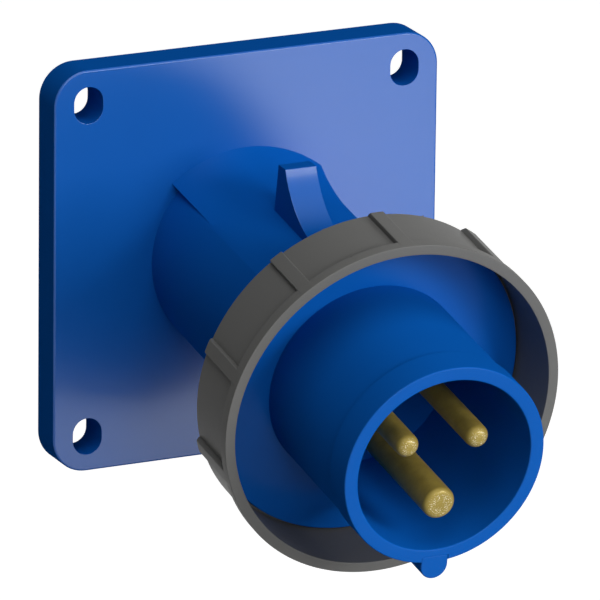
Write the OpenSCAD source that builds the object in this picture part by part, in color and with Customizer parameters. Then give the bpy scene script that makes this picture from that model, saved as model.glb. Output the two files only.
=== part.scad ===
// Angled appliance inlet for a panel: a flange with a tilted hollow neck,
// a round shroud with three contact pins, and a locking ring that turns on it.
//
// Frame: the panel is the plane y = 0 and the part stands out towards -Y, with +Z up.
// The origin is the centre of the flange's rear face.
// The shroud's axis leaves the centre of the flange's front face and tips down by the tilt.
// A station is a distance along that axis from the flange's front face.

/* [Flange] */
// Width of the flange
flange_w = 88; // [86:0.5:94]
// Height of the flange
flange_h = 87.5; // [86:0.5:94]
// Thickness of the flange from the panel to its front face
flange_t = 8.2; // [7.6:0.1:9]
// Radius of the flange's four corners
flange_corner_r = 7.5; // [6:0.5:8.5]
// Thickness of the flange's front wall
flange_wall = 3.2; // [2.8:0.1:3.6]
// Width of the flange's outer rim, seen from the rear
flange_rim = 3; // [2.5:0.1:4]
// Thickness of the stiffening webs behind the front wall
web_t = 2; // [1.5:0.1:3]
// Bevel along the flange's front edge
flange_bevel = 0.3; // [0.2:0.1:0.6]

/* [Fixing slots] */
// Width of a fixing slot
slot_w = 6.5; // [5.5:0.1:7]
// Height of a fixing slot from end to end
slot_h = 7.9; // [7.2:0.1:9]
// Distance from the flange's left or right side to the middle of a slot
slot_inset_x = 7.75; // [7.25:0.05:8.5]
// Distance from the flange's top or bottom to the middle of a slot
slot_inset_z = 7.6; // [7.2:0.05:8.3]
// Radius of the boss round each slot
slot_boss_r = 6.6; // [6:0.1:7.2]

/* [Panel gasket] */
// Inner radius of the panel gasket
gasket_inner_r = 28.2; // [27.6:0.1:28.6]
// Outer radius of the panel gasket
gasket_outer_r = 31.8; // [31:0.1:32.4]
// Thickness of the panel gasket
gasket_t = 2; // [1.6:0.1:2.6]
// Width of the land on each side of the gasket
gasket_land = 2.2; // [1.8:0.1:2.4]

/* [Neck] */
// Angle by which the inlet tips down from the panel's normal
tilt = 10.2; // [8:0.2:12]
// Radius of the neck
neck_r = 21.7; // [21.4:0.1:22.2]
// Wall thickness of the neck
neck_wall = 2.8; // [2.4:0.1:3]
// Distance from the flange's front face to the neck's mouth
neck_len = 56.1; // [54:0.1:58]
// Radius of the flatter arc that forms the neck's crown
crown_r = 30.2; // [28:0.1:32]
// Height of the crown above the axis
crown_h = 19.4; // [19:0.1:20]
// Angle from the top to each side of the part of the crown that stands above the round neck
crown_angle = 46; // [42:0.5:48]
// Radius of the curve by which the crown rises towards the flange
crown_flare_r = 57.7; // [50:0.5:70]
// Station at which the crown starts to rise
crown_station = 15; // [13:0.5:16]

/* [Catch on the neck] */
// Width of the catch
catch_w = 7.1; // [5:0.1:9]
// Station of the catch's rear face
catch_station = 18.2; // [17:0.1:20]
// Height of the catch above the axis
catch_h = 30.1; // [28:0.1:32]
// Amount by which the catch's top falls towards its rear face
catch_fall = 0.4; // [0.2:0.1:0.8]
// Length of the flat on top of the catch
catch_top = 3; // [2:0.1:4]
// Radius of the hollow front face of the catch
catch_arc_r = 18.9; // [16:0.1:22]
// Distance from the catch's flat to the lowest point of its hollow front face, along the axis
catch_arc_reach = 16.7; // [15:0.1:17.5]
// Height of the lowest point of the hollow front face above the neck's crown
catch_arc_rise = 1.2; // [0.8:0.1:1.6]

/* [Collar] */
// Amount by which the collar at the neck's mouth is wider than the ring's seat, on the radius
collar_lip = 1.4; // [1:0.1:2]
// Thickness of the collar's edge
collar_t = 3.1; // [2.5:0.1:4]
// Length of the cone behind the collar
collar_cone = 4; // [3:0.1:6]
// Radius at which the cone behind the collar starts
collar_root_r = 25; // [23:0.5:28]
// Inner radius of the ledge inside the neck
ledge_r = 14.5; // [14.3:0.1:14.7]
// Thickness of the ledge inside the neck
ledge_t = 3; // [2.5:0.1:3.5]

/* [Shroud] */
// Outer radius of the sleeve round the pins
sleeve_r = 22.25; // [22:0.05:22.6]
// Wall thickness of the sleeve
sleeve_wall = 3; // [2.6:0.1:3.2]
// Length of the sleeve in front of the disc
sleeve_len = 39.05; // [38.4:0.05:40]
// Length of the sleeve's front band
sleeve_band = 7.4; // [5:0.1:10]
// Step in radius by which the sleeve behind its front band is narrower
sleeve_step = 0.45; // [0.3:0.05:0.6]
// Amount by which the disc is wider than the ring's seat, on the radius
disc_lip = 2.7; // [2.4:0.05:3]
// Thickness of the disc's edge
disc_edge = 1.05; // [0.8:0.05:1.2]
// Radius of the seat that the locking ring turns on
seat_r = 32; // [31.6:0.1:32.2]
// Thickness of the disc from its front edge to the collar
disc_t = 2.95; // [2.85:0.05:3.1]
// Height by which the disc's face rises from its edge to the sleeve
disc_rise = 1; // [0.4:0.1:1.4]
// Length of the plug that enters the neck
plug_len = 6; // [5.5:0.1:6.5]
// Width of the key under the sleeve
key_w = 6; // [5:0.1:7]
// Height of the key below the sleeve
key_h = 3.8; // [3:0.1:4.5]

/* [Locking ring] */
// Gap between the disc's edge and the locking ring's wall
ring_gap = 0.5; // [0.3:0.05:0.7]
// Wall thickness of the locking ring at its front
ring_wall = 2.25; // [2:0.05:2.3]
// Distance that the ring stands in front of the disc
ring_reach = 14.25; // [12:0.25:16]
// Thickness of the ring's rear lip
lip_t = 1.3; // [1.1:0.05:1.4]
// Length of the raised band at the ring's front
band_len = 2.5; // [2:0.1:4]
// Depth of the panels between the grip ribs
panel_depth = 1.1; // [0.8:0.05:1.2]
// Number of grip ribs
rib_count = 10; // [6:1:16]
// Width of a grip rib
rib_w = 3.1; // [2.5:0.1:4]
// Angle through which the ring turns
ring_travel = 50; // [30:1:60]
// Angle covered by the ring's stop
stop_angle = 10; // [8:1:14]
// Height of the stop inside the ring's lip
stop_h = 1.2; // [1:0.1:1.4]
// Slope at the rear end of each grip rib
rib_slope = 0.9; // [0.5:0.1:1.2]

/* [Contact pins] */
// Radius of the circle on which the pins stand
pin_circle_r = 9; // [8.8:0.05:9.2]
// Radius of the earth pin
earth_r = 3.5; // [3.4:0.05:3.6]
// Radius of the line pin and of the neutral pin
phase_r = 2.5; // [2.4:0.05:2.6]
// Distance from the sleeve's front edge back to the earth pin's tip
earth_setback = 0.1; // [0.1:0.1:3]
// Distance from the sleeve's front edge back to the other two tips
phase_setback = 0.9; // [0.5:0.1:5]
// Rounding of the earth pin's tip
earth_round = 1.3; // [1:0.1:2]
// Rounding of the other two tips
phase_round = 1.9; // [1:0.1:2.1]
// Width of the shoulder on each pin
shoulder_w = 1.7; // [1.5:0.1:1.9]
// Amount by which a pin is thicker inside the shroud's rear wall, on the radius
root_w = 0.2; // [0.15:0.05:0.3]
// Thickness of the shoulder on each pin
shoulder_t = 2.4; // [2:0.1:2.6]
// Amount by which a terminal is wider than its pin, on the radius
terminal_w = 1.4; // [1.3:0.05:1.45]
// Length of a terminal behind the shoulder
terminal_len = 12.5; // [12:0.1:13.5]
// Radius of the wire bore in the earth pin
earth_bore_r = 2.8; // [2.6:0.1:2.9]
// Radius of the wire bore in the other two pins
phase_bore_r = 2.2; // [2.1:0.05:2.3]
// Depth of each wire bore
wire_bore_len = 9.5; // [9:0.1:10]

/* [Contact carrier] */
// Radius of the contact carrier
carrier_r = 16.1; // [16:0.05:16.2]
// Length of the carrier behind the ledge
carrier_len = 17; // [16:0.1:20]
// Radius of a tie screw
tie_r = 1.5; // [1.4:0.05:1.6]
// Radius of the circle on which the tie screws stand
tie_circle_r = 11.2; // [11:0.1:11.3]
// Radius of a tie screw's head
tie_head_r = 2.75; // [2.6:0.05:2.8]
// Height of a tie screw's head
tie_head_h = 2.2; // [1.8:0.1:2.4]
// Depth of a tie screw's head below the carrier's rear face
tie_recess = 4.6; // [4:0.1:5]
// Depth to which a tie screw enters the shroud
tie_grip = 6.4; // [5.5:0.1:7]

/* [Clamp screws] */
// Radius of a clamp screw
clamp_r = 1.75; // [1.6:0.05:1.8]
// Radius of a clamp screw's head
clamp_head_r = 2.6; // [2.5:0.05:2.65]
// Height of a clamp screw's head
clamp_head_h = 1.6; // [1.4:0.1:1.8]
// Distance from the rear end of a terminal to its clamp screw
clamp_inset = 4.6; // [4.4:0.1:4.8]
// Thickness of a pressure plate
plate_t = 0.5; // [0.4:0.05:0.6]
// Length of a pressure plate
plate_len = 6; // [5:0.1:6.4]
// Width of a screw's driving slot
drive_w = 0.8; // [0.6:0.05:1]
// Depth of a screw's driving slot
drive_h = 0.9; // [0.7:0.05:1.1]
// Distance that a clamp screw's end dips into the wire bore
clamp_dip = 0.7; // [0.6:0.05:0.9]

/* [Seals] */
// Radius of the shroud seal's round section
seal_section_r = 1; // [0.9:0.05:1.1]
// Radius of the shroud seal's centre line
seal_circle_r = 27; // [26.5:0.1:27.4]
// Radius of a pin seal's round section
pin_seal_section_r = 0.8; // [0.7:0.05:0.85]

/* [Hidden] */

// Clearances between pieces
turn_gap = 0.3;
fit_gap = 0.1;
seal_gap = 0.05;
// Length by which a cutting body passes the face that it cuts
overrun = 1;
// Bevels on the moulded edges of the shroud and the ring
edge_bevel = 0.3;
// Facets round a full circle, and round the wide curves of the neck
$fn = 96;
wide_steps = 360;
// Angles round the axis, from the top towards the right
earth_angle = 180;
line_angle = -60;
neutral_angle = 60;
tie_top_angle = 0;
tie_left_angle = -120;
tie_right_angle = 120;
stop_centre_angle = 180;

// Stations along the tilted axis
face_station = neck_len + disc_t;
tip_station = face_station + sleeve_len;
ring_front = face_station + ring_reach;
lip_front = face_station - disc_edge - turn_gap;
ring_rear = lip_front - lip_t;
plug_rear = neck_len - plug_len;
carrier_front = plug_rear - fit_gap;
ledge_front = plug_rear - fit_gap;
ledge_rear = ledge_front - ledge_t;
carrier_rear = ledge_rear - carrier_len;
shoulder_rear = carrier_front - shoulder_t;
terminal_rear = shoulder_rear - terminal_len;
clamp_station = terminal_rear + clamp_inset;
tie_head_rear = carrier_rear + tie_recess;
tie_tip = plug_rear + tie_grip;

// Sizes that follow from others
bore_r = neck_r - neck_wall;
bore_crown_r = crown_r - neck_wall;
crown_drop = crown_r - crown_h;
pocket_depth = flange_t - flange_wall;
pocket_r = gasket_inner_r - gasket_land;
land_r = gasket_outer_r + gasket_land;
slot_span_x = flange_w - 2 * slot_inset_x;
slot_span_z = flange_h - 2 * slot_inset_z;
collar_r = seat_r + collar_lip;
disc_r = seat_r + disc_lip;
ring_inner_r = disc_r + ring_gap;
ring_r = ring_inner_r + ring_wall;
lip_r = seat_r + turn_gap;
sleeve_inner_r = sleeve_r - sleeve_wall;
carrier_spigot_r = ledge_r - fit_gap;
neck_start = -2 * flange_t;
crown_sweep = 45;
stop_gap_angle = turn_gap / seat_r * 180 / PI;
recess_start = 90 - stop_centre_angle - stop_angle / 2 - ring_travel - stop_gap_angle;

// Moves children from the panel's plan view to the panel: x stays, y becomes +Z, z becomes -Y
module on_panel() {
    rotate([90, 0, 0]) children();
}

// Moves children to the tilted axis: x stays, y becomes up across the axis, z runs out along it
module on_axis() {
    translate([0, -flange_t, 0]) rotate([90 + tilt, 0, 0]) children();
}

// Turns children round the axis, from the top towards the right
module at_angle(angle) {
    rotate([0, 0, -angle]) children();
}

// Places children at a radius and an angle round the axis
module at_polar(radius, angle) {
    at_angle(angle) translate([0, radius, 0]) children();
}

// Flat ring between two radii
module ring_2d(inner, outer) {
    difference() {
        circle(r = outer);
        circle(r = inner);
    }
}

// Rectangle with round corners
module round_rect_2d(w, h, r) {
    square([w - 2 * r, h], center = true);
    square([w, h - 2 * r], center = true);
    for (x = [-1, 1], y = [-1, 1])
        translate([x * (w / 2 - r), y * (h / 2 - r)]) circle(r = r);
}

// Outline of one fixing slot, upright and with round ends
module slot_2d() {
    square([slot_w, slot_h - slot_w], center = true);
    for (y = [-1, 1]) translate([0, y * (slot_h - slot_w) / 2]) circle(r = slot_w / 2);
}

// Places children at the four fixing slots
module at_slots() {
    for (x = [-1, 1], y = [-1, 1])
        translate([x * slot_span_x / 2, y * slot_span_z / 2]) children();
}

// Outline of the neck's hollow, round with a flatter crown
module bore_2d(gap) {
    intersection() {
        circle(r = bore_r - gap);
        translate([0, -crown_drop]) circle(r = bore_crown_r - gap);
    }
}

// Pockets behind the flange's front wall, with bosses, webs and the gasket's land left standing
module flange_pockets() {
    translate([0, 0, -overrun]) linear_extrude(pocket_depth + overrun) {
        difference() {
            round_rect_2d(flange_w - 2 * flange_rim, flange_h - 2 * flange_rim,
                flange_corner_r - flange_rim);
            circle(r = land_r);
            at_slots() circle(r = slot_boss_r);
            for (a = [0, 45, 90, 135]) rotate(a) square([2 * flange_w, web_t], center = true);
        }
        circle(r = pocket_r);
    }
}

// Flange plate with a bevelled front edge
module flange_plate() {
    hull() {
        linear_extrude(flange_t - flange_bevel)
            round_rect_2d(flange_w, flange_h, flange_corner_r);
        linear_extrude(flange_t)
            round_rect_2d(flange_w - 2 * flange_bevel, flange_h - 2 * flange_bevel,
                flange_corner_r - flange_bevel);
    }
}

// Outline of the neck across its axis: round, with a wider sector under the crown
module neck_2d() {
    circle(r = neck_r);
    intersection() {
        circle(r = crown_r);
        polygon([[0, 0], [-crown_r * tan(crown_angle), crown_r], [crown_r * tan(crown_angle), crown_r]]);
    }
}

// Body that bounds the neck's crown: straight, then rising along a curve towards the flange
module crown_bound() {
    translate([0, -crown_drop, crown_station])
        cylinder(r = crown_r, h = neck_len - crown_station, $fn = wide_steps);
    translate([0, crown_h + crown_flare_r, crown_station])
        rotate([-90, 0, 0]) rotate([0, 90, 0])
            rotate_extrude(angle = crown_sweep, $fn = wide_steps)
                translate([crown_flare_r + crown_r, 0]) circle(r = crown_r);
}

// Space in front of the flange's rear pocket, where the neck may stand
module neck_zone() {
    on_panel() translate([0, 0, pocket_depth])
        cylinder(r = flange_h / 2, h = neck_len + flange_t);
}

// Solid neck, before it is hollowed
module neck_body() {
    intersection() {
        on_axis() intersection() {
            translate([0, 0, neck_start]) linear_extrude(neck_len - neck_start) neck_2d();
            crown_bound();
        }
        neck_zone();
    }
}

// Side outline of the catch: x along the axis, y up across it
module catch_profile() {
    difference() {
        polygon([
            [0, crown_h - neck_wall / 2], [catch_top + catch_arc_reach, crown_h - neck_wall / 2],
            [catch_top + catch_arc_reach, catch_h], [catch_top, catch_h],
            [0, catch_h - catch_fall]]);
        translate([catch_top + catch_arc_reach, crown_h + catch_arc_rise + catch_arc_r])
            circle(r = catch_arc_r, $fn = wide_steps);
        translate([catch_top + catch_arc_reach, crown_h + catch_arc_rise + catch_arc_r])
            square(catch_arc_r);
    }
}

// Catch on top of the neck, with an upright rear face and a hollow front face
module catch_body() {
    on_axis() translate([catch_w / 2, 0, catch_station])
        rotate([0, -90, 0]) linear_extrude(catch_w) catch_profile();
}

// Collar that closes the neck's front end, with the cone behind it
module collar_body() {
    on_axis() {
        translate([0, 0, neck_len - collar_t]) cylinder(r = collar_r, h = collar_t);
        translate([0, 0, neck_len - collar_t - collar_cone])
            cylinder(r1 = collar_root_r, r2 = collar_r, h = collar_cone);
    }
}

// Hollow of the neck, with the ledge left standing, and the bores for the tie screws
module neck_hollow() {
    on_axis() {
        translate([0, 0, neck_start]) linear_extrude(ledge_rear - neck_start) bore_2d(0);
        translate([0, 0, ledge_front]) linear_extrude(neck_len - ledge_front + overrun) bore_2d(0);
        cylinder(r = ledge_r, h = neck_len);
    }
}

// Groove in the collar's face for the shroud seal
module seal_groove() {
    on_axis() translate([0, 0, neck_len - 2 * seal_section_r])
        linear_extrude(2 * seal_section_r + overrun)
            ring_2d(seal_circle_r - seal_section_r - seal_gap,
                seal_circle_r + seal_section_r + seal_gap);
}

// Flange, neck, catch and collar, moulded as one piece
module flange_housing() {
    color("royalblue") difference() {
        union() {
            on_panel() flange_plate();
            neck_body();
            catch_body();
            collar_body();
        }
        on_panel() {
            flange_pockets();
            translate([0, 0, -overrun])
                linear_extrude(flange_t + 2 * overrun) at_slots() slot_2d();
            translate([0, 0, -overrun])
                linear_extrude(gasket_t + overrun) ring_2d(gasket_inner_r, gasket_outer_r);
        }
        neck_hollow();
        seal_groove();
    }
}

// Flat gasket in the groove behind the flange
module panel_gasket() {
    color("dimgray") on_panel() linear_extrude(gasket_t)
        ring_2d(gasket_inner_r, gasket_outer_r);
}

// Outline of the shroud from the axis outwards: x is the radius, y the station
module shroud_profile() {
    polygon([
        [0, neck_len], [seat_r, neck_len], [seat_r, face_station - disc_edge],
        [disc_r, face_station - disc_edge], [disc_r, face_station - edge_bevel],
        [disc_r - edge_bevel, face_station],
        [sleeve_r - sleeve_step, face_station + disc_rise],
        [sleeve_r - sleeve_step, tip_station - sleeve_band],
        [sleeve_r, tip_station - sleeve_band], [sleeve_r, tip_station - edge_bevel],
        [sleeve_r - edge_bevel, tip_station],
        [sleeve_inner_r + edge_bevel, tip_station], [sleeve_inner_r, tip_station - edge_bevel],
        [sleeve_inner_r, face_station], [0, face_station]]);
}

// Key under the sleeve, with a round back
module shroud_key() {
    translate([0, 0, face_station - edge_bevel]) linear_extrude(sleeve_len + edge_bevel)
        translate([0, -sleeve_r - key_h + key_w / 2]) {
            circle(r = key_w / 2);
            translate([-key_w / 2, 0]) square([key_w, key_h]);
        }
}

// Recess under the disc's edge in which the ring's stop travels
module stop_recess() {
    translate([0, 0, neck_len - overrun])
        rotate_extrude(start = recess_start,
            angle = stop_angle + ring_travel + 2 * stop_gap_angle)
            translate([seat_r - stop_h, 0])
                square([stop_h + overrun, disc_t - disc_edge + overrun]);
}

// Bores for a pin's root and its seal through the shroud's rear wall
module pin_passage(pin_r, angle) {
    root_r = pin_r + root_w;
    at_polar(pin_circle_r, angle) {
        translate([0, 0, plug_rear - overrun])
            cylinder(r = root_r + fit_gap, h = face_station - plug_rear + 2 * overrun);
        translate([0, 0, plug_rear - overrun])
            cylinder(r = root_r + 2 * pin_seal_section_r + seal_gap,
                h = 2 * pin_seal_section_r + overrun);
    }
}

// Sleeve, disc and plug, moulded as one piece
module shroud() {
    color("royalblue") on_axis() difference() {
        union() {
            rotate_extrude() shroud_profile();
            translate([0, 0, plug_rear]) linear_extrude(plug_len + edge_bevel) bore_2d(fit_gap);
            shroud_key();
        }
        stop_recess();
        pin_passage(earth_r, earth_angle);
        pin_passage(phase_r, line_angle);
        pin_passage(phase_r, neutral_angle);
        for (a = [tie_top_angle, tie_left_angle, tie_right_angle])
            at_polar(tie_circle_r, a) translate([0, 0, plug_rear - overrun])
                cylinder(r = tie_r, h = tie_grip + fit_gap + overrun);
    }
}

// Round seal between the collar and the disc
module shroud_seal() {
    color("black") on_axis() translate([0, 0, neck_len - seal_section_r])
        rotate_extrude() translate([seal_circle_r, 0]) circle(r = seal_section_r);
}

// Outline of the ring's wall and lip: x is the radius, y the station
module ring_profile() {
    polygon([
        [lip_r, ring_rear], [ring_r - rib_slope, ring_rear], [ring_r, ring_rear + rib_slope],
        [ring_r, ring_front - edge_bevel], [ring_r - edge_bevel, ring_front],
        [ring_inner_r + edge_bevel, ring_front], [ring_inner_r, ring_front - edge_bevel],
        [ring_inner_r, lip_front], [lip_r, lip_front]]);
}

// Outline of the sunk panels between the grip ribs
module panels_2d() {
    difference() {
        ring_2d(ring_r - panel_depth, ring_r + overrun);
        for (i = [0 : rib_count - 1]) rotate(i * 360 / rib_count)
            translate([-rib_w / 2, 0]) square([rib_w, ring_r + 2 * overrun]);
    }
}

// Ring with a rear lip, grip ribs round its outside and a stop inside its lip
module locking_ring() {
    color("gray") on_axis() {
        difference() {
            rotate_extrude() ring_profile();
            translate([0, 0, ring_rear - overrun])
                linear_extrude(ring_front - band_len - ring_rear + overrun) panels_2d();
        }
        translate([0, 0, ring_rear])
            rotate_extrude(start = recess_start + stop_gap_angle + ring_travel, angle = stop_angle)
                translate([seat_r - stop_h + turn_gap, 0]) square([stop_h + turn_gap, lip_t]);
    }
}

// Bores in the carrier for a pin's shoulder, its terminal and its clamp screw
module carrier_passage(pin_r, angle) {
    at_polar(pin_circle_r, angle) {
        translate([0, 0, shoulder_rear])
            cylinder(r = pin_r + shoulder_w + fit_gap, h = shoulder_t + overrun);
        translate([0, 0, carrier_rear - overrun])
            cylinder(r = pin_r + terminal_w + fit_gap, h = shoulder_rear - carrier_rear + 2 * overrun);
        translate([0, 0, clamp_station]) rotate([-90, 0, 0])
            cylinder(r = clamp_head_r + fit_gap, h = carrier_r);
    }
}

// Insulating carrier that holds the three pins behind the shroud
module contact_carrier() {
    color("darkslategray") on_axis() difference() {
        union() {
            translate([0, 0, carrier_rear]) cylinder(r = carrier_r, h = carrier_len);
            translate([0, 0, carrier_rear])
                cylinder(r = carrier_spigot_r, h = carrier_front - carrier_rear);
        }
        carrier_passage(earth_r, earth_angle);
        carrier_passage(phase_r, line_angle);
        carrier_passage(phase_r, neutral_angle);
        for (a = [tie_top_angle, tie_left_angle, tie_right_angle])
            at_polar(tie_circle_r, a) {
                translate([0, 0, carrier_rear - overrun])
                    cylinder(r = tie_r + fit_gap, h = carrier_front - carrier_rear + 2 * overrun);
                translate([0, 0, carrier_rear - overrun])
                    cylinder(r = tie_head_r + fit_gap, h = tie_recess + tie_head_h + overrun);
            }
    }
}

// Turned contact pin with a rounded tip, a root, a shoulder, and a terminal bored for the wire
module contact_pin(pin_r, setback, tip_round, wire_r, angle) {
    pin_tip = tip_station - setback;
    color("goldenrod") on_axis() at_polar(pin_circle_r, angle) difference() {
        rotate_extrude() {
            translate([0, shoulder_rear]) square([pin_r, pin_tip - tip_round - shoulder_rear]);
            translate([0, shoulder_rear]) square([pin_r - tip_round, pin_tip - shoulder_rear]);
            intersection() {
                translate([pin_r - tip_round, pin_tip - tip_round]) circle(r = tip_round);
                translate([0, shoulder_rear]) square([pin_r, pin_tip]);
            }
            translate([0, shoulder_rear])
                square([pin_r + root_w, face_station - shoulder_rear]);
            translate([0, shoulder_rear]) square([pin_r + shoulder_w, shoulder_t]);
            translate([0, terminal_rear]) square([pin_r + terminal_w, terminal_len]);
        }
        translate([0, 0, terminal_rear - overrun]) cylinder(r = wire_r, h = wire_bore_len + overrun);
        translate([0, 0, clamp_station]) rotate([-90, 0, 0])
            cylinder(r = clamp_r, h = pin_r + terminal_w + overrun);
    }
}

// Round seal of a pin, in the shroud's rear wall
module pin_seal(pin_r, angle) {
    color("black") on_axis() at_polar(pin_circle_r, angle)
        translate([0, 0, plug_rear + pin_seal_section_r]) rotate_extrude()
            translate([pin_r + root_w + pin_seal_section_r + seal_gap / 2, 0])
                circle(r = pin_seal_section_r - seal_gap / 2);
}

// Clamp screw that presses the wire across its pin's terminal
module clamp_screw(pin_r, wire_r, angle) {
    screw_base = wire_r - clamp_dip;
    color("silver") on_axis() at_polar(pin_circle_r, angle)
        translate([0, 0, clamp_station]) rotate([-90, 0, 0]) difference() {
            union() {
                translate([0, 0, screw_base])
                    cylinder(r = clamp_r - seal_gap, h = pin_r + terminal_w - screw_base + fit_gap);
                translate([0, 0, pin_r + terminal_w + fit_gap])
                    cylinder(r = clamp_head_r, h = clamp_head_h);
            }
            translate([0, 0, pin_r + terminal_w + fit_gap + clamp_head_h + (overrun - drive_h) / 2])
                cube([2 * clamp_head_r + overrun, drive_w, drive_h + overrun], center = true);
        }
}

// Pressure plate between a clamp screw and the wire
module pressure_plate(wire_r, angle) {
    plate_w = 2 * sqrt(pow(wire_r - fit_gap, 2) - pow(wire_r - clamp_dip, 2));
    color("silver") on_axis() at_polar(pin_circle_r, angle)
        translate([0, wire_r - clamp_dip - plate_t / 2, clamp_station])
            cube([plate_w, plate_t, plate_len], center = true);
}

// Tie screw that draws the carrier and the shroud together against the neck's ledge
module tie_screw(angle) {
    color("silver") on_axis() at_polar(tie_circle_r, angle) difference() {
        union() {
            translate([0, 0, tie_head_rear]) cylinder(r = tie_head_r, h = tie_head_h);
            translate([0, 0, tie_head_rear]) cylinder(r = tie_r - seal_gap, h = tie_tip - tie_head_rear);
        }
        translate([0, 0, tie_head_rear + (drive_h - overrun) / 2])
            cube([2 * tie_head_r + overrun, drive_w, drive_h + overrun], center = true);
    }
}

flange_housing();
panel_gasket();
shroud();
shroud_seal();
locking_ring();
contact_carrier();
contact_pin(earth_r, earth_setback, earth_round, earth_bore_r, earth_angle);  // earth_pin
contact_pin(phase_r, phase_setback, phase_round, phase_bore_r, line_angle);  // line_pin
contact_pin(phase_r, phase_setback, phase_round, phase_bore_r, neutral_angle);  // neutral_pin
pin_seal(earth_r, earth_angle);  // earth_pin_seal
pin_seal(phase_r, line_angle);  // line_pin_seal
pin_seal(phase_r, neutral_angle);  // neutral_pin_seal
clamp_screw(earth_r, earth_bore_r, earth_angle);  // earth_clamp_screw
clamp_screw(phase_r, phase_bore_r, line_angle);  // line_clamp_screw
clamp_screw(phase_r, phase_bore_r, neutral_angle);  // neutral_clamp_screw
pressure_plate(earth_bore_r, earth_angle);  // earth_pressure_plate
pressure_plate(phase_bore_r, line_angle);  // line_pressure_plate
pressure_plate(phase_bore_r, neutral_angle);  // neutral_pressure_plate
tie_screw(tie_top_angle);  // tie_screw_top
tie_screw(tie_left_angle);  // tie_screw_left
tie_screw(tie_right_angle);  // tie_screw_right
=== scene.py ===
"""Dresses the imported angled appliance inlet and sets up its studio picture.

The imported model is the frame. The housing and the contact pins start from copies of their
solids, the shroud and the locking ring are modelled over theirs, and the small parts are shown
as they are. Every piece gets its finish.
"""

import logging
import math
from collections.abc import Callable, Iterator
from contextlib import contextmanager
from dataclasses import dataclass, field
from enum import Enum
from typing import Any

import bmesh
import bpy
from mathutils import Matrix, Vector

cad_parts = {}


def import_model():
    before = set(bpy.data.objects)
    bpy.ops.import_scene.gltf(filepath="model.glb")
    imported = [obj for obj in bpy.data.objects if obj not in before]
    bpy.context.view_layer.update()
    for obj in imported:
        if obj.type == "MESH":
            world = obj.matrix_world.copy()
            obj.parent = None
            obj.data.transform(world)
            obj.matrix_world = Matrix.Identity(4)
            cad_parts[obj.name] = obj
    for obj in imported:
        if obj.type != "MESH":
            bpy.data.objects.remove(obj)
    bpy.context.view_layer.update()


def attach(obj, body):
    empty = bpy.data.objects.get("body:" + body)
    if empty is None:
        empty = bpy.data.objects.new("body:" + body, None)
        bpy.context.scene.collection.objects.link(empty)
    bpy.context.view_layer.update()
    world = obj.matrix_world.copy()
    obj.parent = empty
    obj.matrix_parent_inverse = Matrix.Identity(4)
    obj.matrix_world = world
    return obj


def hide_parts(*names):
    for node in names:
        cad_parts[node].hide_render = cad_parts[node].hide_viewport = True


LOG = logging.getLogger("inlet")

MM = 0.001

# The middle of a noise's values
MIDDLE = 0.5

Colour = tuple[float, float, float]
Span = tuple[float, float]
Place = tuple[float, float, float]


class Body(Enum):
    """Bodies of the part that move as one."""

    INLET = "inlet"
    RING = "ring"


class Slot(Enum):
    """Material slots of the part's record."""

    BLUE = "housing_blue"
    RUBBER = "gasket_rubber"
    GREY = "ring_grey"
    BLACK = "carrier_black"
    BRASS = "contact_brass"
    STEEL = "screw_steel"


class Joining(Enum):
    """Ways to combine two bodies."""

    ADD = "UNION"
    CUT = "DIFFERENCE"


# Shader graph


class Wire:
    """An output socket whose operators add Math nodes to its graph."""

    def __init__(self, graph: "Graph", socket: bpy.types.NodeSocket) -> None:
        """Keeps the socket and the graph it belongs to."""
        self.graph = graph
        self.socket = socket

    def math(self, operation: str, *others: "Wire | float", clamp: bool = False) -> "Wire":
        """Adds one Math node that starts from this socket.

        Args:
            operation: The Math node's operation.
            others: The second and third operand, as sockets or numbers.
            clamp: Whether the result is kept between 0 and 1.

        Returns:
            The node's output.
        """
        return self.graph.math(operation, self, *others, clamp=clamp)

    def __add__(self, other: "Wire | float") -> "Wire":
        """Adds a socket or a number."""
        return self.math("ADD", other)

    def __sub__(self, other: "Wire | float") -> "Wire":
        """Takes a socket or a number away."""
        return self.math("SUBTRACT", other)

    def __mul__(self, other: "Wire | float") -> "Wire":
        """Multiplies by a socket or a number."""
        return self.math("MULTIPLY", other)

    def __truediv__(self, other: "Wire | float") -> "Wire":
        """Divides by a socket or a number."""
        return self.math("DIVIDE", other)

    def __radd__(self, other: float) -> "Wire":
        """Adds this socket to a number."""
        return self.graph.math("ADD", other, self)

    def __rsub__(self, other: float) -> "Wire":
        """Takes this socket away from a number."""
        return self.graph.math("SUBTRACT", other, self)

    def __rmul__(self, other: float) -> "Wire":
        """Multiplies a number by this socket."""
        return self.graph.math("MULTIPLY", other, self)

    def __rtruediv__(self, other: float) -> "Wire":
        """Divides a number by this socket."""
        return self.graph.math("DIVIDE", other, self)

    def clamped(self) -> "Wire":
        """Keeps the value between 0 and 1."""
        return self.math("ADD", 0.0, clamp=True)

    def between(self, low: float, high: float) -> "Wire":
        """Maps low to 0 and high to 1, clamped at both ends."""
        return ((self - low) / (high - low)).clamped()


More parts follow.
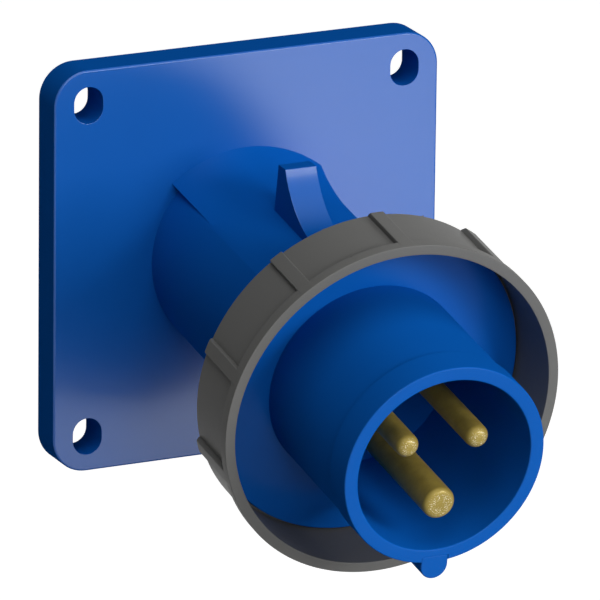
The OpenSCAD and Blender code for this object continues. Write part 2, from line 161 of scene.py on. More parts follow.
class Graph:
    """The node tree of one material or of the world."""

    def __init__(self, tree: bpy.types.NodeTree) -> None:
        """Clears the tree and keeps it."""
        self.tree = tree
        self.tree.nodes.clear()

    def node(
        self,
        kind: str,
        settings: dict[str, Any] | None = None,
        inputs: dict[str | int, Any] | None = None,
    ) -> bpy.types.Node:
        """Adds one node, sets it, and then fills its sockets.

        Args:
            kind: The node's type, as bpy names it.
            settings: Properties of the node.
            inputs: Numbers, colours or wires by socket name or place.

        Returns:
            The new node.
        """
        made = self.tree.nodes.new(kind)
        for name, value in (settings or {}).items():
            setattr(made, name, value)
        for key, value in (inputs or {}).items():
            if isinstance(value, Wire):
                self.tree.links.new(value.socket, made.inputs[key])
            else:
                made.inputs[key].default_value = value
        return made

    def wire(self, made: bpy.types.Node, output: str | int = 0) -> Wire:
        """Wraps one output of a node."""
        return Wire(self, made.outputs[output])

    def math(self, operation: str, *operands: Wire | float, clamp: bool = False) -> Wire:
        """Adds one Math node.

        Args:
            operation: The node's operation.
            operands: Its operands, as sockets or numbers.
            clamp: Whether the result is kept between 0 and 1.

        Returns:
            The node's output.
        """
        made = self.node(
            "ShaderNodeMath",
            {"operation": operation, "use_clamp": clamp},
            dict(enumerate(operands)),
        )
        return self.wire(made)

    def mix(self, factor: Wire | float, first: Any, second: Any) -> Wire:
        """Mixes two colours.

        Args:
            factor: The share of the second colour.
            first: A colour or a socket.
            second: A colour or a socket.

        Returns:
            The mixed colour.
        """
        made = self.node(
            "ShaderNodeMix", {"data_type": "RGBA"}, {0: factor, 6: first, 7: second}
        )
        return self.wire(made, 2)

    def place(self, origin: Place = (0.0, 0.0, 0.0), turn: Place = (0.0, 0.0, 0.0)) -> Wire:
        """Object coordinates seen from a point and turned.

        Args:
            origin: The point that becomes the pattern's centre.
            turn: The turn of the pattern's frame, in radians.

        Returns:
            The coordinates as a vector.
        """
        coordinates = self.node("ShaderNodeTexCoord")
        made = self.node(
            "ShaderNodeMapping",
            {"vector_type": "TEXTURE"},
            {
                "Vector": self.wire(coordinates, "Object"),
                "Location": origin,
                "Rotation": turn,
            },
        )
        return self.wire(made)

    def noise(self, vector: Wire, cells: float, detail: float = 2.0, rough: float = 0.5) -> Wire:
        """Adds a noise texture.

        Args:
            vector: Where the texture is read.
            cells: Cells to a metre.
            detail: Octaves of the noise.
            rough: Strength of the finer octaves.

        Returns:
            The noise value.
        """
        made = self.node(
            "ShaderNodeTexNoise",
            None,
            {"Vector": vector, "Scale": cells, "Detail": detail, "Roughness": rough},
        )
        return self.wire(made)

    def bump(self, height: Wire, strength: float, distance: float) -> Wire:
        """Turns a height into a normal.

        Args:
            height: The height, in shares of the distance.
            strength: How strongly the surface is bumped.
            distance: The height of 1, in metres.

        Returns:
            The normal.
        """
        made = self.node(
            "ShaderNodeBump", None, {"Height": height, "Strength": strength, "Distance": distance}
        )
        return self.wire(made, "Normal")


def shade(colour: Colour, factor: float = 1.0) -> tuple[float, ...]:
    """A colour made lighter or darker, with the alpha that a socket takes."""
    return tuple(part * factor for part in colour) + (1.0,)


class Finish:
    """A finish that can be laid on any piece.

    In every finish, cells are a noise's cells to a metre, a span is the stretch of its values
    that is used, and a wear is how far the pattern shifts the roughness. Depths are in metres.
    """

    slot: Slot
    label: str = "plain"

    def name(self) -> str:
        """The material's name, from its slot and its own label."""
        return f"{self.slot.value}_{self.label}"

    def paint(self, graph: Graph) -> dict[str, Any]:
        """Builds the finish's pattern.

        Args:
            graph: The material's node graph.

        Returns:
            Values and wires for the shader's sockets.
        """
        raise NotImplementedError

    def material(self) -> bpy.types.Material:
        """Makes the material, or finds the one made before.

        Returns:
            The material.
        """
        known = bpy.data.materials.get(self.name())
        if known is not None:
            return known
        made = bpy.data.materials.new(self.name())
        made.use_nodes = True
        graph = Graph(made.node_tree)
        shader = graph.node("ShaderNodeBsdfPrincipled", None, self.paint(graph))
        graph.node("ShaderNodeOutputMaterial", None, {"Surface": graph.wire(shader)})
        return made

    def lay_on(self, piece: bpy.types.Object) -> None:
        """Puts the finish on all of a piece.

        Args:
            piece: The piece to be dressed.
        """
        piece.data.materials.clear()
        piece.data.materials.append(self.material())


@dataclass(frozen=True)
class MouldedPlastic(Finish):
    """Injection-moulded plastic with a fine eroded skin and faint flow marks."""

    slot: Slot
    colour: Colour
    label: str = "plain"
    tone: float = 0.025
    flow_cells: float = 26.0
    flow_span: Span = (0.3, 0.7)
    flow_wear: float = 0.08
    roughness: float = 0.32
    gloss: float = 0.0
    skin_gloss: float = 0.54
    skin_rough: float = 0.25
    skin_ior: float = 1.7
    skin_facing: Span = (0.15, 0.38)
    grain_cells: float = 2600.0
    grain_share: float = 0.7
    grain_strength: float = 0.6
    grain_depth: float = 0.012 * MM
    grains_to_speck: float = 5.0
    speck_wear: float = 0.12
    speck_sheen: float = 0.1

    def paint(self, graph: Graph) -> dict[str, Any]:
        """Flow marks vary the tone, and the eroded skin varies the gloss and the normal.

        Args:
            graph: The material's node graph.

        Returns:
            Values and wires for the shader's sockets.
        """
        here = graph.place()
        flow = graph.noise(here, self.flow_cells, detail=3.0, rough=0.55)
        grain = graph.noise(here, self.grain_cells, rough=0.6)
        speck = graph.noise(here, self.grain_cells / self.grains_to_speck, detail=3.0, rough=0.6)
        dark, light = shade(self.colour, 1.0 - self.tone), shade(self.colour, 1.0 + self.tone)
        facing = graph.wire(graph.node("ShaderNodeLayerWeight", None, {"Blend": 0.5}), "Facing")
        sheen = (1.0 - facing.between(*self.skin_facing)) * self.skin_gloss
        wear = (flow - MIDDLE) * self.flow_wear + (speck - MIDDLE) * self.speck_wear
        skin = grain * self.grain_share + speck * (1.0 - self.grain_share)
        return {
            "Base Color": graph.mix(flow.between(*self.flow_span), dark, light),
            "Roughness": self.roughness + wear,
            "Specular IOR Level": self.gloss,
            "Coat Weight": sheen + (speck - MIDDLE) * self.speck_sheen * sheen,
            "Coat Roughness": self.skin_rough,
            "Coat IOR": self.skin_ior,
            "Normal": graph.bump(skin, self.grain_strength, self.grain_depth),
        }


@dataclass(frozen=True)
class Rubber(Finish):
    """Soft black sealing rubber with a powdery skin."""

    slot: Slot = Slot.RUBBER
    colour: Colour = (0.018, 0.018, 0.019)
    bloom_cells: float = 140.0
    bloom_span: Span = (0.42, 0.75)
    bloom_lift: float = 2.2
    bloom_wear: float = 0.2
    roughness: float = 0.62
    gloss: float = 0.35
    skin_cells: float = 1800.0
    skin_strength: float = 0.5
    skin_depth: float = 0.02 * MM

    def paint(self, graph: Graph) -> dict[str, Any]:
        """A powdery bloom lightens the rubber in patches.

        Args:
            graph: The material's node graph.

        Returns:
            Values and wires for the shader's sockets.
        """
        here = graph.place()
        bloom = graph.noise(here, self.bloom_cells, detail=4.0, rough=0.6)
        skin = graph.noise(here, self.skin_cells)
        dusty = shade(self.colour, self.bloom_lift)
        return {
            "Base Color": graph.mix(bloom.between(*self.bloom_span), shade(self.colour), dusty),
            "Roughness": self.roughness + bloom * self.bloom_wear,
            "Specular IOR Level": self.gloss,
            "Normal": graph.bump(skin, self.skin_strength, self.skin_depth),
        }


@dataclass(frozen=True)
class TurnedBrass(Finish):
    """Dull turned brass with fine lathe marks round the pin's own axis."""

    centre: Place
    turn: Place
    tip: float
    reach: float
    label: str
    slot: Slot = Slot.BRASS
    colour: Colour = (0.32, 0.238, 0.048)
    dull: float = 0.78
    bright: float = 1.2
    metal: float = 0.15
    gloss: float = 0.2
    roughness: float = 0.3
    pitch: float = 0.16 * MM
    wander: float = 5.0
    wander_cells: float = 900.0
    mark_wear: float = 0.03
    tarnish_cells: float = 260.0
    tarnish_span: Span = (0.3, 0.72)
    tarnish_wear: float = 0.14
    skin_mix: Span = (0.5, 0.6)
    skin_strength: float = 0.35
    skin_depth: float = 0.012 * MM
    tip_zone: float = 2.2 * MM
    tip_blend: float = 0.4
    # The share by which the tip's base colour is darkened, as painted shade.
    tip_shade: float = 0.4
    # The colour of the painted glints: whitish specks in the base colour that stand in for
    # highlights on the tip.
    painted_glint: Colour = (0.85, 0.8, 0.62)
    glint_fall: float = 2.6
    glint_cells: float = 3600.0
    glint_span: Span = (0.56, 0.64)

    def paint(self, graph: Graph) -> dict[str, Any]:
        """Lathe marks run round the shank; the faced tip is darkened as painted shade and ringed
        with specks of painted glint.

        Args:
            graph: The material's node graph.

        Returns:
            Values and wires for the shader's sockets.
        """
        here = graph.place(self.centre, self.turn)
        split = graph.node("ShaderNodeSeparateXYZ", None, {0: here})
        across, up, along = (graph.wire(split, i) for i in range(3))
        radius = (across * across + up * up).math("SQRT")
        wander = graph.noise(here, self.wander_cells) * self.wander
        marks = ((along + radius) / self.pitch * math.tau + wander).math("SINE")
        tarnish = graph.noise(here, self.tarnish_cells, detail=4.0, rough=0.65)
        dull, bright = shade(self.colour, self.dull), shade(self.colour, self.bright)
        shank = graph.mix(tarnish.between(*self.tarnish_span), dull, bright)
        tip_start = self.tip - self.tip_zone
        faced = (along - tip_start).between(0.0, self.tip_zone * self.tip_blend)
        # Painted shade: the base colour darkens towards the dull tone over the tip.
        body = graph.mix(faced * self.tip_shade, shank, dull)
        # Painted glints: whitish specks in a ring round the tip, mixed into the base colour,
        # stand in for highlights.
        band = 1.0 - (radius / self.reach - 0.5).math("ABSOLUTE") * self.glint_fall
        glint_specks = graph.noise(here, self.glint_cells, rough=0.7).between(*self.glint_span)
        painted_glints = (faced * band * glint_specks).clamped()
        mark_share, tarnish_share = self.skin_mix
        skin = marks * mark_share + tarnish * tarnish_share
        return {
            "Base Color": graph.mix(painted_glints, body, shade(self.painted_glint)),
            "Metallic": self.metal,
            "Specular IOR Level": self.gloss,
            "Roughness": self.roughness + tarnish * self.tarnish_wear + marks * self.mark_wear,
            "Normal": graph.bump(skin, self.skin_strength, self.skin_depth),
        }


@dataclass(frozen=True)
class PlatedSteel(Finish):
    """Zinc-plated steel with faint tumbling marks."""

    slot: Slot = Slot.STEEL
    colour: Colour = (0.52, 0.53, 0.54)
    dull: float = 0.7
    roughness: float = 0.3
    cloud_cells: float = 420.0
    cloud_span: Span = (0.3, 0.7)
    cloud_wear: float = 0.18
    scratch_cells: float = 3000.0
    scratch_strength: float = 0.3
    scratch_depth: float = 0.01 * MM

    def paint(self, graph: Graph) -> dict[str, Any]:
        """Cloudy plating over a fine scratch pattern.

        Args:
            graph: The material's node graph.

        Returns:
            Values and wires for the shader's sockets.
        """
        here = graph.place()
        cloud = graph.noise(here, self.cloud_cells, detail=3.0, rough=0.6)
        scratches = graph.noise(here, self.scratch_cells, rough=0.6)
        dull = shade(self.colour, self.dull)
        return {
            "Base Color": graph.mix(cloud.between(*self.cloud_span), dull, shade(self.colour)),
            "Metallic": 1.0,
            "Roughness": self.roughness + cloud * self.cloud_wear,
            "Normal": graph.bump(scratches, self.scratch_strength, self.scratch_depth),
        }


# The bench


class Bench:
    """The modelling steps, each done with Blender's own operators.

    Attributes:
        WELD: The distance within which a solid's loose triangles are joined.
        TOUCH: The distance within which the points of a new body are one.
        FLAT: The angle in radians under which two faces are joined to one.
        SAME: The least change of a ring's size that is worth a resize.
        FACE_WEIGHT: How strongly large faces pull the shading, of 100.
        LONG_EDGE: The length from which an edge counts as long.
    """

    WELD = 0.002 * MM
    TOUCH = 0.001 * MM
    FLAT = math.radians(0.4)
    SAME = 1e-9
    FACE_WEIGHT = 60
    LONG_EDGE = 20.0 * MM

    @staticmethod
    def clear() -> None:
        """Leaves edit mode and deselects everything."""
        if bpy.context.object is not None and bpy.context.object.mode != "OBJECT":
            bpy.ops.object.mode_set(mode="OBJECT")
        bpy.ops.object.select_all(action="DESELECT")

    @classmethod
    def take(cls, piece: bpy.types.Object) -> None:
        """Selects one piece alone and makes it active.

        Args:
            piece: The piece to work on.
        """
        cls.clear()
        piece.select_set(True)
        bpy.context.view_layer.objects.active = piece

    @classmethod
    @contextmanager
    def editing(cls, piece: bpy.types.Object) -> Iterator[None]:
        """Works on a piece's mesh in edit mode.

        Args:
            piece: The piece to edit.

        Yields:
            Nothing; the mesh is in edit mode inside the block.
        """
        cls.take(piece)
        bpy.ops.object.mode_set(mode="EDIT")
        yield
        bpy.ops.object.mode_set(mode="OBJECT")

    @staticmethod
    def select_verts(piece: bpy.types.Object, test: Callable[[Any], bool]) -> None:
        """Selects the vertices of the edited mesh that pass a test.

        Args:
            piece: The piece in edit mode.
            test: Takes a vertex and says whether it is selected.
        """
        bpy.ops.mesh.select_mode(type="VERT")
        bpy.ops.mesh.select_all(action="DESELECT")
        mesh = bmesh.from_edit_mesh(piece.data)
        for vertex in filter(test, mesh.verts):
            vertex.select_set(True)
        mesh.select_flush_mode()
        bmesh.update_edit_mesh(piece.data)

    @classmethod
    def modify(cls, piece: bpy.types.Object, kind: str, **settings: Any) -> None:
        """Adds a modifier and applies it.

        Args:
            piece: The piece to change.
            kind: The modifier's type.
            settings: The modifier's properties.
        """
        cls.take(piece)
        modifier = piece.modifiers.new(kind.title(), kind)
        for name, value in settings.items():
            setattr(modifier, name, value)
        bpy.ops.object.modifier_apply(modifier=modifier.name)

    @classmethod
    def settle(cls, piece: bpy.types.Object, frame: Matrix) -> None:
        """Turns and moves a piece into the frame and keeps its place in its mesh.

        Args:
            piece: The piece, modelled round the origin.
            frame: Its place and turn in the part's frame.
        """
        piece.matrix_world = frame @ piece.matrix_world
        cls.take(piece)
        bpy.ops.object.transform_apply(location=True, rotation=True, scale=True)

    @classmethod
    def merged(cls, node: str, name: str) -> bpy.types.Object:
        """Copies a solid's mesh and joins its loose triangles.

        Args:
            node: The solid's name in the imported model.
            name: The new piece's name.

        Returns:
            The copy, with flat faces joined up to plain polygons.
        """
        source = bpy.data.objects[node]
        piece = bpy.data.objects.new(name, source.data.copy())
        bpy.context.scene.collection.objects.link(piece)
        with cls.editing(piece):
            bpy.ops.mesh.customdata_custom_splitnormals_clear()
            bpy.ops.mesh.select_all(action="SELECT")
            bpy.ops.mesh.remove_doubles(threshold=cls.WELD)
            bpy.ops.mesh.dissolve_limited(angle_limit=cls.FLAT)
        return piece

    @classmethod
    def turned(
        cls, name: str, outline: list[tuple[float, float]], steps: int, closed: bool = True
    ) -> bpy.types.Object:
        """Turns an outline into a round body, ring by ring.

        Args:
            name: The piece's name.
            outline: Radii and stations in metres, from one end round to the other.
            steps: Sides of each ring.
            closed: Whether the last ring joins the first, as on a tube.

        Returns:
            The round body, about the Z axis.
        """
        cls.clear()
        start_r, start_z = outline[0]
        bpy.ops.mesh.primitive_circle_add(
            vertices=steps, radius=start_r, fill_type="NOTHING", location=(0.0, 0.0, start_z)
        )
        piece = bpy.context.object
        piece.name = piece.data.name = name
        bpy.ops.object.transform_apply(location=True, rotation=True, scale=True)
        stations = outline[1:] + ([outline[0]] if closed else [])
        with cls.editing(piece):
            bpy.ops.mesh.select_mode(type="EDGE")
            bpy.ops.mesh.select_all(action="SELECT")
            if not closed:
                bpy.ops.mesh.edge_face_add()
            last_r, last_z = start_r, start_z
            for radius, station in stations:
                scale = radius / last_r
                bpy.ops.mesh.extrude_edges_move(
                    TRANSFORM_OT_translate={"value": (0.0, 0.0, station - last_z)}
                )
                if abs(scale - 1.0) > cls.SAME:
                    bpy.ops.transform.resize(
                        value=(scale, scale, 1.0), center_override=(0.0, 0.0, station)
                    )
                last_r, last_z = radius, station
            if not closed:
                bpy.ops.mesh.edge_face_add()
            cls.close_up()
        return piece

    @classmethod
    def close_up(cls) -> None:
        """Joins the edited mesh's doubled points and turns its faces outwards."""
        bpy.ops.mesh.select_all(action="SELECT")
        bpy.ops.mesh.remove_doubles(threshold=cls.TOUCH)
        bpy.ops.mesh.normals_make_consistent(inside=False)

    @classmethod
    def combine(cls, piece: bpy.types.Object, other: bpy.types.Object, how: Joining) -> None:
        """Joins another body to a piece or cuts it out of the piece.

        Args:
            piece: The piece to change.
            other: The other body, used up by this.
            how: Whether the other body is added or cut away.
        """
        cls.modify(piece, "BOOLEAN", operation=how.value, object=other, solver="EXACT")
        bpy.data.objects.remove(other, do_unlink=True)

    @classmethod
    def soften(
        cls,
        piece: bpy.types.Object,
        width: float,
        segments: int,
        angle: float,
        fold: float = 180.0,
    ) -> None:
        """Rounds the outward edges and shades the rest smoothly.

        Args:
            piece: The piece to finish.
            width: The width of the rounding in metres.
            segments: Faces across the rounding.
            angle: The least angle of an edge that is rounded, in degrees.
            fold: The least angle of a long edge that stays sharp, in degrees.
        """
        least = math.radians(angle)
        mesh = bmesh.new()
        mesh.from_mesh(piece.data)
        weights = mesh.edges.layers.float.new("bevel_weight_edge")
        for edge in mesh.edges:
            if len(edge.link_faces) == 2 and edge.calc_face_angle_signed() > least:
                edge[weights] = 1.0
        mesh.to_mesh(piece.data)
        mesh.free()
        cls.modify(
            piece,
            "BEVEL",
            width=width,
            segments=segments,
            limit_method="WEIGHT",
            use_clamp_overlap=False,
            miter_outer="MITER_SHARP",
        )
        cls.smooth(piece, angle, fold)

    @classmethod
    def smooth(cls, piece: bpy.types.Object, angle: float, fold: float = 180.0) -> None:
        """Shades a piece smoothly across its shallow edges, but not across a long fold.

        Args:
            piece: The piece to shade.
            angle: The greatest angle that is shaded across, in degrees.
            fold: The least angle of a long edge that stays sharp, in degrees.
        """
        cls.take(piece)
        bpy.ops.object.shade_smooth_by_angle(angle=math.radians(angle))
        mesh = bmesh.new()
        mesh.from_mesh(piece.data)
        for edge in mesh.edges:
            folded = edge.calc_face_angle(0.0) > math.radians(fold)
            if folded and edge.calc_length() > cls.LONG_EDGE:
                edge.smooth = False
        mesh.to_mesh(piece.data)
        mesh.free()
        cls.modify(piece, "WEIGHTED_NORMAL", keep_sharp=True, weight=cls.FACE_WEIGHT)

    @staticmethod
    def true_cone(
        piece: bpy.types.Object, frame: Matrix, slope: float, rear: float, slack: float = 0.02
    ) -> int:
        """Shades a cone evenly, whatever polygons it is made of.

        Args:
            piece: The piece with the cone.
            frame: The frame whose Z axis is the cone's axis.
            slope: The part of the cone's normal that runs along the axis.
            rear: The station behind which nothing is changed.
            slack: How far a face's slope may be from the cone's.

        Returns:
            The number of faces on the cone.
        """
        into, mesh, found = frame.inverted(), piece.data, 0
        normals = [corner.vector.copy() for corner in mesh.corner_normals]
        across = math.sqrt(1.0 - slope * slope)
        for face in mesh.polygons:
            near = abs((into.to_3x3() @ face.normal).z - slope) < slack
            if not near or (into @ face.center).z < rear:
                continue
            found += 1
            for corner in face.loop_indices:
                place = into @ mesh.vertices[mesh.loops[corner].vertex_index].co
                out = Vector((place.x, place.y, 0.0)).normalized() * across
                normals[corner] = frame.to_3x3() @ Vector((out.x, out.y, slope))
        mesh.normals_split_custom_set(normals)
        return found


# The part


@dataclass(frozen=True)
class TiltedAxis:
    """The axis of the neck, the sleeve and the ring, which runs out of the flange."""

    tilt: float = math.radians(10.2)
    flange_t: float = 8.2 * MM

    def frame(self) -> Matrix:
        """Places the axis's own frame in the part's frame.

        Returns:
            The matrix from the one to the other.
        """
        return Matrix.Translation((0.0, -self.flange_t, 0.0)) @ Matrix.Rotation(
            math.pi / 2 + self.tilt, 4, "X"
        )

    def at(self, radius: float, clock: float) -> tuple[float, float]:
        """A place round the axis.

        Args:
            radius: The distance from the axis.
            clock: The angle in degrees from the top towards the right.

        Returns:
            The place across the axis.
        """
        turn = math.radians(clock)
        return radius * math.sin(turn), radius * math.cos(turn)


@dataclass
class SubAssembly:
    """A group of pieces that are built and dressed together."""

    axis: TiltedAxis = field(default_factory=TiltedAxis)
    made: list[bpy.types.Object] = field(default_factory=list)

    def build(self) -> None:
        """Builds and dresses the pieces."""
        raise NotImplementedError

    def keep(self, piece: bpy.types.Object, finish: Finish, body: Body, *nodes: str) -> None:
        """Dresses a finished piece and hangs it on its body.

        Args:
            piece: The finished piece.
            finish: Its finish.
            body: The body it moves with.
            nodes: The solids it stands for.
        """
        finish.lay_on(piece)
        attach(piece, body.value)
        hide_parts(*nodes)
        self.made.append(piece)

    def dress(self, node: str, finish: Finish) -> None:
        """Lays a finish on a solid that is shown as it is.

        Args:
            node: The solid's name.
            finish: Its finish.
        """
        piece = bpy.data.objects[node]
        finish.lay_on(piece)
        self.made.append(piece)

    def report(self) -> None:
        """Logs each piece with its size."""
        for piece in self.made:
            LOG.info("%s: %d faces", piece.name, len(piece.data.polygons))


BLUE = MouldedPlastic(Slot.BLUE, (0.0025, 0.093, 0.415))
SATIN_BLUE = MouldedPlastic(Slot.BLUE, BLUE.colour, label="satin", skin_gloss=0.1, skin_ior=1.8)
GREY = MouldedPlastic(
    Slot.GREY,
    (0.132, 0.132, 0.128),
    roughness=0.44,
    gloss=0.06,
    skin_gloss=0.1,
    grain_cells=2200.0,
)
BLACK = MouldedPlastic(
    Slot.BLACK,
    (0.016, 0.017, 0.018),
    roughness=0.5,
    gloss=0.3,
    skin_gloss=0.1,
    grain_cells=2000.0,
)


@dataclass
class Housing(SubAssembly):
    """The flange plate, neck, catch and collar, moulded in one."""

    edge: float = 0.12 * MM
    edge_steps: int = 2
    edge_angle: float = 28.0
    fold_angle: float = 15.0
    collar_r: float = 33.4 * MM
    cone_root_r: float = 25.0 * MM
    cone_length: float = 4.0 * MM
    cone_rear: float = 47.0 * MM

    def build(self) -> None:
        """Rounds a copy of the solid and shades the collar's cone evenly."""
        piece = Bench.merged("flange_housing", "moulded_housing")
        Bench.soften(piece, self.edge, self.edge_steps, self.edge_angle, self.fold_angle)
        rise = self.collar_r - self.cone_root_r
        slope = -rise / math.hypot(rise, self.cone_length)
        cone = Bench.true_cone(piece, self.axis.frame(), slope, self.cone_rear)
        LOG.info("collar cone: %d faces", cone)
        self.keep(piece, BLUE, Body.INLET, "flange_housing")
        self.dress("panel_gasket", Rubber())


@dataclass
class Shroud(SubAssembly):
    """The sleeve round the pins, with its disc, plug and key."""

    steps: int = 192
    face: float = 59.05 * MM
    tip: float = 98.1 * MM
    sleeve_r: float = 22.25 * MM
    bore_r: float = 19.25 * MM
    step: float = 0.45 * MM
    band: float = 7.4 * MM
    disc_r: float = 34.7 * MM
    disc_edge: float = 1.05 * MM
    disc_rise: float = 1.0 * MM
    seat_r: float = 32.0 * MM
    seat_rear: float = 56.1 * MM
    plug_r: float = 18.8 * MM
    plug_rear: float = 50.1 * MM
    key_w: float = 6.0 * MM
    key_h: float = 3.8 * MM
    key_root: float = 1.5 * MM
    key_steps: int = 64
    key_flat: float = math.radians(0.1)
    edge: float = 0.35 * MM
    edge_steps: int = 3
    edge_angle: float = 25.0

    def outline(self) -> list[tuple[float, float]]:
        """Draws the moulding's outline, from the plug's rear to the floor inside the sleeve.

        Returns:
            Radii and stations.
        """
        waist = self.sleeve_r - self.step
        return [
            (self.plug_r, self.plug_rear),
            (self.plug_r, self.seat_rear),
            (self.seat_r, self.seat_rear),
            (self.seat_r, self.face - self.disc_edge),
            (self.disc_r, self.face - self.disc_edge),
            (self.disc_r, self.face),
            (waist, self.face + self.disc_rise),
            (waist, self.tip - self.band),
            (self.sleeve_r, self.tip - self.band),
            (self.sleeve_r, self.tip),
            (self.bore_r, self.tip),
            (self.bore_r, self.face),
        ]

    def key(self) -> bpy.types.Object:
        """The key under the sleeve, a bar with a round back.

        Returns:
            The key, with its foot inside the sleeve's wall.
        """
        Bench.clear()
        centre = -self.sleeve_r - self.key_h + self.key_w / 2
        top = -self.sleeve_r + self.key_root
        bpy.ops.mesh.primitive_circle_add(
            vertices=self.key_steps,
            radius=self.key_w / 2,
            fill_type="NGON",
            location=(0.0, centre, self.face),
        )
        key = bpy.context.object
        bpy.ops.object.transform_apply(location=True, rotation=True, scale=True)
        with Bench.editing(key):
            Bench.select_verts(key, lambda vertex: vertex.co.y > centre + Bench.TOUCH)
            bpy.ops.transform.resize(value=(1.0, 0.0, 1.0), center_override=(0.0, top, self.face))
            bpy.ops.mesh.select_all(action="SELECT")
            bpy.ops.mesh.dissolve_limited(angle_limit=self.key_flat)
            bpy.ops.mesh.select_all(action="SELECT")
            bpy.ops.mesh.extrude_region_move(
                TRANSFORM_OT_translate={"value": (0.0, 0.0, self.tip - self.face)}
            )
            bpy.ops.mesh.select_all(action="SELECT")
            bpy.ops.mesh.normals_make_consistent(inside=False)
        return key

    def build(self) -> None:
        """Turns the moulding, adds its key and rounds its edges."""
        piece = Bench.turned("moulded_shroud", self.outline(), self.steps, closed=False)
        Bench.combine(piece, self.key(), Joining.ADD)
        Bench.soften(piece, self.edge, self.edge_steps, self.edge_angle)
        Bench.settle(piece, self.axis.frame())
        self.keep(piece, SATIN_BLUE, Body.INLET, "shroud")
        self.dress("shroud_seal", Rubber())


@dataclass
class LockingRing(SubAssembly):
    """The ring that turns round the sleeve, with grip ribs and a rear lip."""

    steps: int = 360
    outer_r: float = 37.45 * MM
    inner_r: float = 35.2 * MM
    lip_r: float = 32.3 * MM
    front: float = 73.3 * MM
    lip_front: float = 57.7 * MM
    rear: float = 56.4 * MM
    band: float = 2.5 * MM
    panel_depth: float = 1.1 * MM
    ribs: int = 10
    rib_w: float = 3.1 * MM
    slope: float = 0.9 * MM
    panel_steps: int = 32
    spare: float = 1.0 * MM
    edge: float = 0.22 * MM
    edge_steps: int = 2
    edge_angle: float = 25.0

    def outline(self) -> list[tuple[float, float]]:
        """Draws the ring's outline, from the lip's rear edge outwards and back inside.

        Returns:
            Radii and stations.
        """
        return [
            (self.lip_r, self.rear),
            (self.outer_r - self.slope, self.rear),
            (self.outer_r, self.rear + self.slope),
            (self.outer_r, self.front),
            (self.inner_r, self.front),
            (self.inner_r, self.lip_front),
            (self.lip_r, self.lip_front),
        ]

    def panel(self, clock: float) -> bpy.types.Object:
        """One sunk panel between two ribs, as a body to cut away.

        Args:
            clock: The middle of the panel, in degrees from the top.

        Returns:
            The body.
        """
        floor = self.outer_r - self.panel_depth
        half_rib = math.degrees(math.asin(self.rib_w / 2 / self.outer_r))
        sweep = 360.0 / self.ribs - 2 * half_rib
        first = clock - sweep / 2
        Bench.clear()
        bpy.ops.mesh.primitive_plane_add(size=1.0, location=(0.0, 0.0, 0.0))
        panel = bpy.context.object
        low, high = self.rear - self.spare, self.front - self.band
        past = self.outer_r + self.spare
        corners = [(floor, low), (past, low), (past, high), (floor, high)]
        turn = math.radians(90.0 - first)
        with Bench.editing(panel):
            mesh = bmesh.from_edit_mesh(panel.data)
            order = list(mesh.faces)[0].verts
            for vertex, (radius, station) in zip(order, corners):
                vertex.co = (radius * math.cos(turn), radius * math.sin(turn), station)
            bmesh.update_edit_mesh(panel.data)
            bpy.ops.mesh.select_all(action="SELECT")
            bpy.ops.mesh.spin(
                steps=self.panel_steps,
                angle=math.radians(sweep),
                center=(0.0, 0.0, 0.0),
                axis=(0.0, 0.0, 1.0),
            )
            Bench.close_up()
        return panel

    def build(self) -> None:
        """Turns the ring, sinks its panels and rounds its edges."""
        piece = Bench.turned("grip_ring", self.outline(), self.steps)
        pitch = 360.0 / self.ribs
        for index in range(self.ribs):
            Bench.combine(piece, self.panel((index + 0.5) * pitch), Joining.CUT)
        Bench.soften(piece, self.edge, self.edge_steps, self.edge_angle)
        Bench.settle(piece, self.axis.frame())
        self.keep(piece, GREY, Body.RING, "locking_ring")


@dataclass
class Contacts(SubAssembly):
    """The three pins with their seals, clamp screws and pressure plates."""

    circle_r: float = 9.0 * MM
    tip_length: float = 6.0 * MM
    smooth_angle: float = 32.0
    clocks: dict[str, float] = field(
        default_factory=lambda: {"earth": 180.0, "line": -60.0, "neutral": 60.0}
    )

    def tip_of(self, piece: bpy.types.Object, x: float, y: float) -> tuple[float, float]:
        """Measures a pin's front end.

        Args:
            piece: The pin.
            x: The pin's axis across the part's own axis.
            y: The pin's axis up from the part's own axis.

        Returns:
            The station of the tip and the radius of the shank behind it.
        """
        into = self.axis.frame().inverted()
        places = [into @ vertex.co for vertex in piece.data.vertices]
        tip = max(place.z for place in places)
        near = [place for place in places if place.z > tip - self.tip_length]
        return tip, max(math.hypot(place.x - x, place.y - y) for place in near)

    def build(self) -> None:
        """Dresses each pin about its own axis, with the small parts round it."""
        turn = (math.pi / 2 + self.axis.tilt, 0.0, 0.0)
        for name, clock in self.clocks.items():
            x, y = self.axis.at(self.circle_r, clock)
            centre = tuple(self.axis.frame() @ Vector((x, y, 0.0)))
            piece = Bench.merged(f"{name}_pin", f"turned_{name}_pin")
            Bench.smooth(piece, self.smooth_angle)
            tip, reach = self.tip_of(piece, x, y)
            finish = TurnedBrass(centre, turn, tip, reach, name)
            self.keep(piece, finish, Body.INLET, f"{name}_pin")
            self.dress(f"{name}_pin_seal", Rubber())
            self.dress(f"{name}_clamp_screw", PlatedSteel())
            self.dress(f"{name}_pressure_plate", PlatedSteel())


@dataclass
class Carrier(SubAssembly):
    """The insulating carrier behind the shroud and its three tie screws."""

    def build(self) -> None:
        """Dresses the carrier and its screws."""
        self.dress("contact_carrier", BLACK)
        for place in ("top", "left", "right"):
            self.dress(f"tie_screw_{place}", PlatedSteel())


# The studio


@dataclass(frozen=True)
class Lamp:
    """One softbox."""

    name: str
    place: Place
    size: tuple[float, float]
    power: float

    def hang(self, target: Vector) -> None:
        """Hangs the lamp and points it.

        Args:
            target: The point it faces.
        """
        light = bpy.data.lights.new(self.name, "AREA")
        light.shape = "RECTANGLE"
        light.size, light.size_y = self.size
        light.energy = self.power
        lamp = bpy.data.objects.new(self.name, light)
        bpy.context.scene.collection.objects.link(lamp)
        lamp.location = self.place
        aim = target - Vector(self.place)
        lamp.rotation_euler = aim.to_track_quat("-Z", "Y").to_euler()


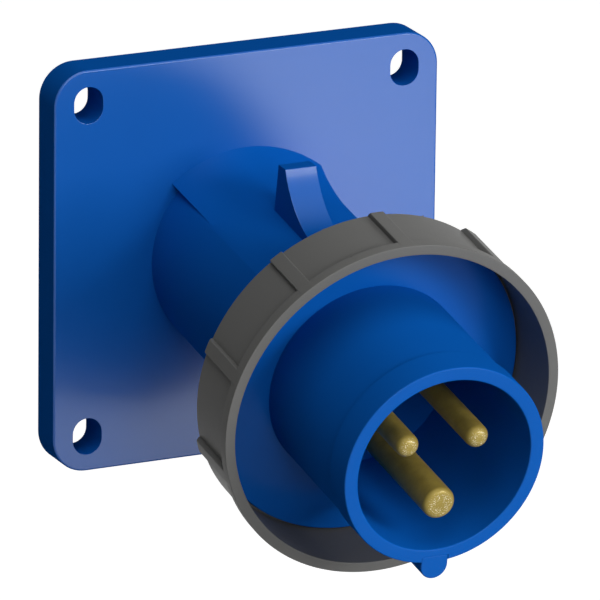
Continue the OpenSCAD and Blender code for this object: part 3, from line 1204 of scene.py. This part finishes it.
@dataclass
class Studio:
    """The camera, the lamps, the pale floor and the white background.

    Places are in metres, the camera's turn in degrees, and its lens and sensor in millimetres.
    """

    target: Vector = field(default_factory=lambda: Vector((0.0, -0.05, 0.0)))
    camera_place: Place = (-0.809284, -1.759099, 0.605196)
    camera_turn: Place = (72.295216, -0.638638, -24.941905)
    lens: float = 577.8
    sensor: float = 36.0
    far: float = 100.0
    floor_z: float = -0.3
    floor_size: float = 8.0
    world_light: float = 0.03
    floor_tone: float = 0.45
    floor_glow: float = 0.94
    lamps: tuple[Lamp, ...] = (
        Lamp("key_softbox", (0.5, -0.95, 0.26), (0.4, 0.4), 7.4),
        Lamp("front_softbox", (-0.1, -1.2, 0.35), (0.5, 0.5), 3.5),
        Lamp("left_softbox", (-0.55, -0.9, 0.85), (0.5, 0.5), 1.6),
        Lamp("top_softbox", (-0.1, -0.4, 1.2), (0.9, 0.9), 5.7),
        Lamp("low_softbox", (0.31, -0.68, -0.2), (0.2, 0.14), 0.46),
    )

    def place_camera(self) -> None:
        """Stands the camera at the picture's viewpoint."""
        data = bpy.data.cameras.new("camera")
        data.sensor_width = self.sensor
        data.lens = self.lens
        data.clip_end = self.far
        camera = bpy.data.objects.new("camera", data)
        bpy.context.scene.collection.objects.link(camera)
        camera.location = self.camera_place
        camera.rotation_euler = [math.radians(angle) for angle in self.camera_turn]
        bpy.context.scene.camera = camera

    @staticmethod
    def seen(graph: Graph) -> Wire:
        """Tells looking rays from lighting rays.

        Args:
            graph: The graph that asks.

        Returns:
            1 where the camera, a gloss or a clear material looks, and 0 for light.
        """
        path = graph.node("ShaderNodeLightPath")
        camera, glossy, clear = (
            graph.wire(path, name)
            for name in ("Is Camera Ray", "Is Glossy Ray", "Is Transmission Ray")
        )
        return (camera + glossy + clear).clamped()

    def lay_floor(self) -> None:
        """Lays the plain pale floor under the part."""
        Bench.clear()
        bpy.ops.mesh.primitive_plane_add(
            size=self.floor_size, location=(0.0, 0.0, self.floor_z)
        )
        floor = bpy.context.object
        floor.name = "studio_floor"
        material = bpy.data.materials.new("studio_floor")
        material.use_nodes = True
        graph = Graph(material.node_tree)
        tone = (self.floor_tone, self.floor_tone, self.floor_tone, 1.0)
        matt = graph.node("ShaderNodeBsdfDiffuse", None, {"Color": tone})
        glow = graph.node(
            "ShaderNodeEmission", None, {"Strength": self.seen(graph) * self.floor_glow}
        )
        both = graph.node(
            "ShaderNodeAddShader", None, {0: graph.wire(matt), 1: graph.wire(glow)}
        )
        graph.node("ShaderNodeOutputMaterial", None, {"Surface": graph.wire(both)})
        floor.data.materials.append(material)

    def light_world(self) -> None:
        """Lights the part softly from all round, in front of a white background."""
        world = bpy.data.worlds.new("studio")
        bpy.context.scene.world = world
        world.use_nodes = True
        graph = Graph(world.node_tree)
        seen = self.seen(graph)
        strength = seen * (1.0 - self.world_light) + self.world_light
        light = graph.node(
            "ShaderNodeBackground", None, {"Color": (1.0, 1.0, 1.0, 1.0), "Strength": strength}
        )
        graph.node("ShaderNodeOutputWorld", None, {"Surface": graph.wire(light)})

    def build(self) -> None:
        """Sets up the studio."""
        self.place_camera()
        for lamp in self.lamps:
            lamp.hang(self.target)
        self.lay_floor()
        self.light_world()
        bpy.context.scene.view_settings.view_transform = "Standard"


def main() -> None:
    """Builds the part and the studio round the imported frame."""
    logging.basicConfig(level=logging.INFO, format="%(name)s: %(message)s")
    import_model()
    Studio().build()
    for assembly in (Housing(), Shroud(), LockingRing(), Contacts(), Carrier()):
        assembly.build()
        assembly.report()


if __name__ == "__main__":
    main()
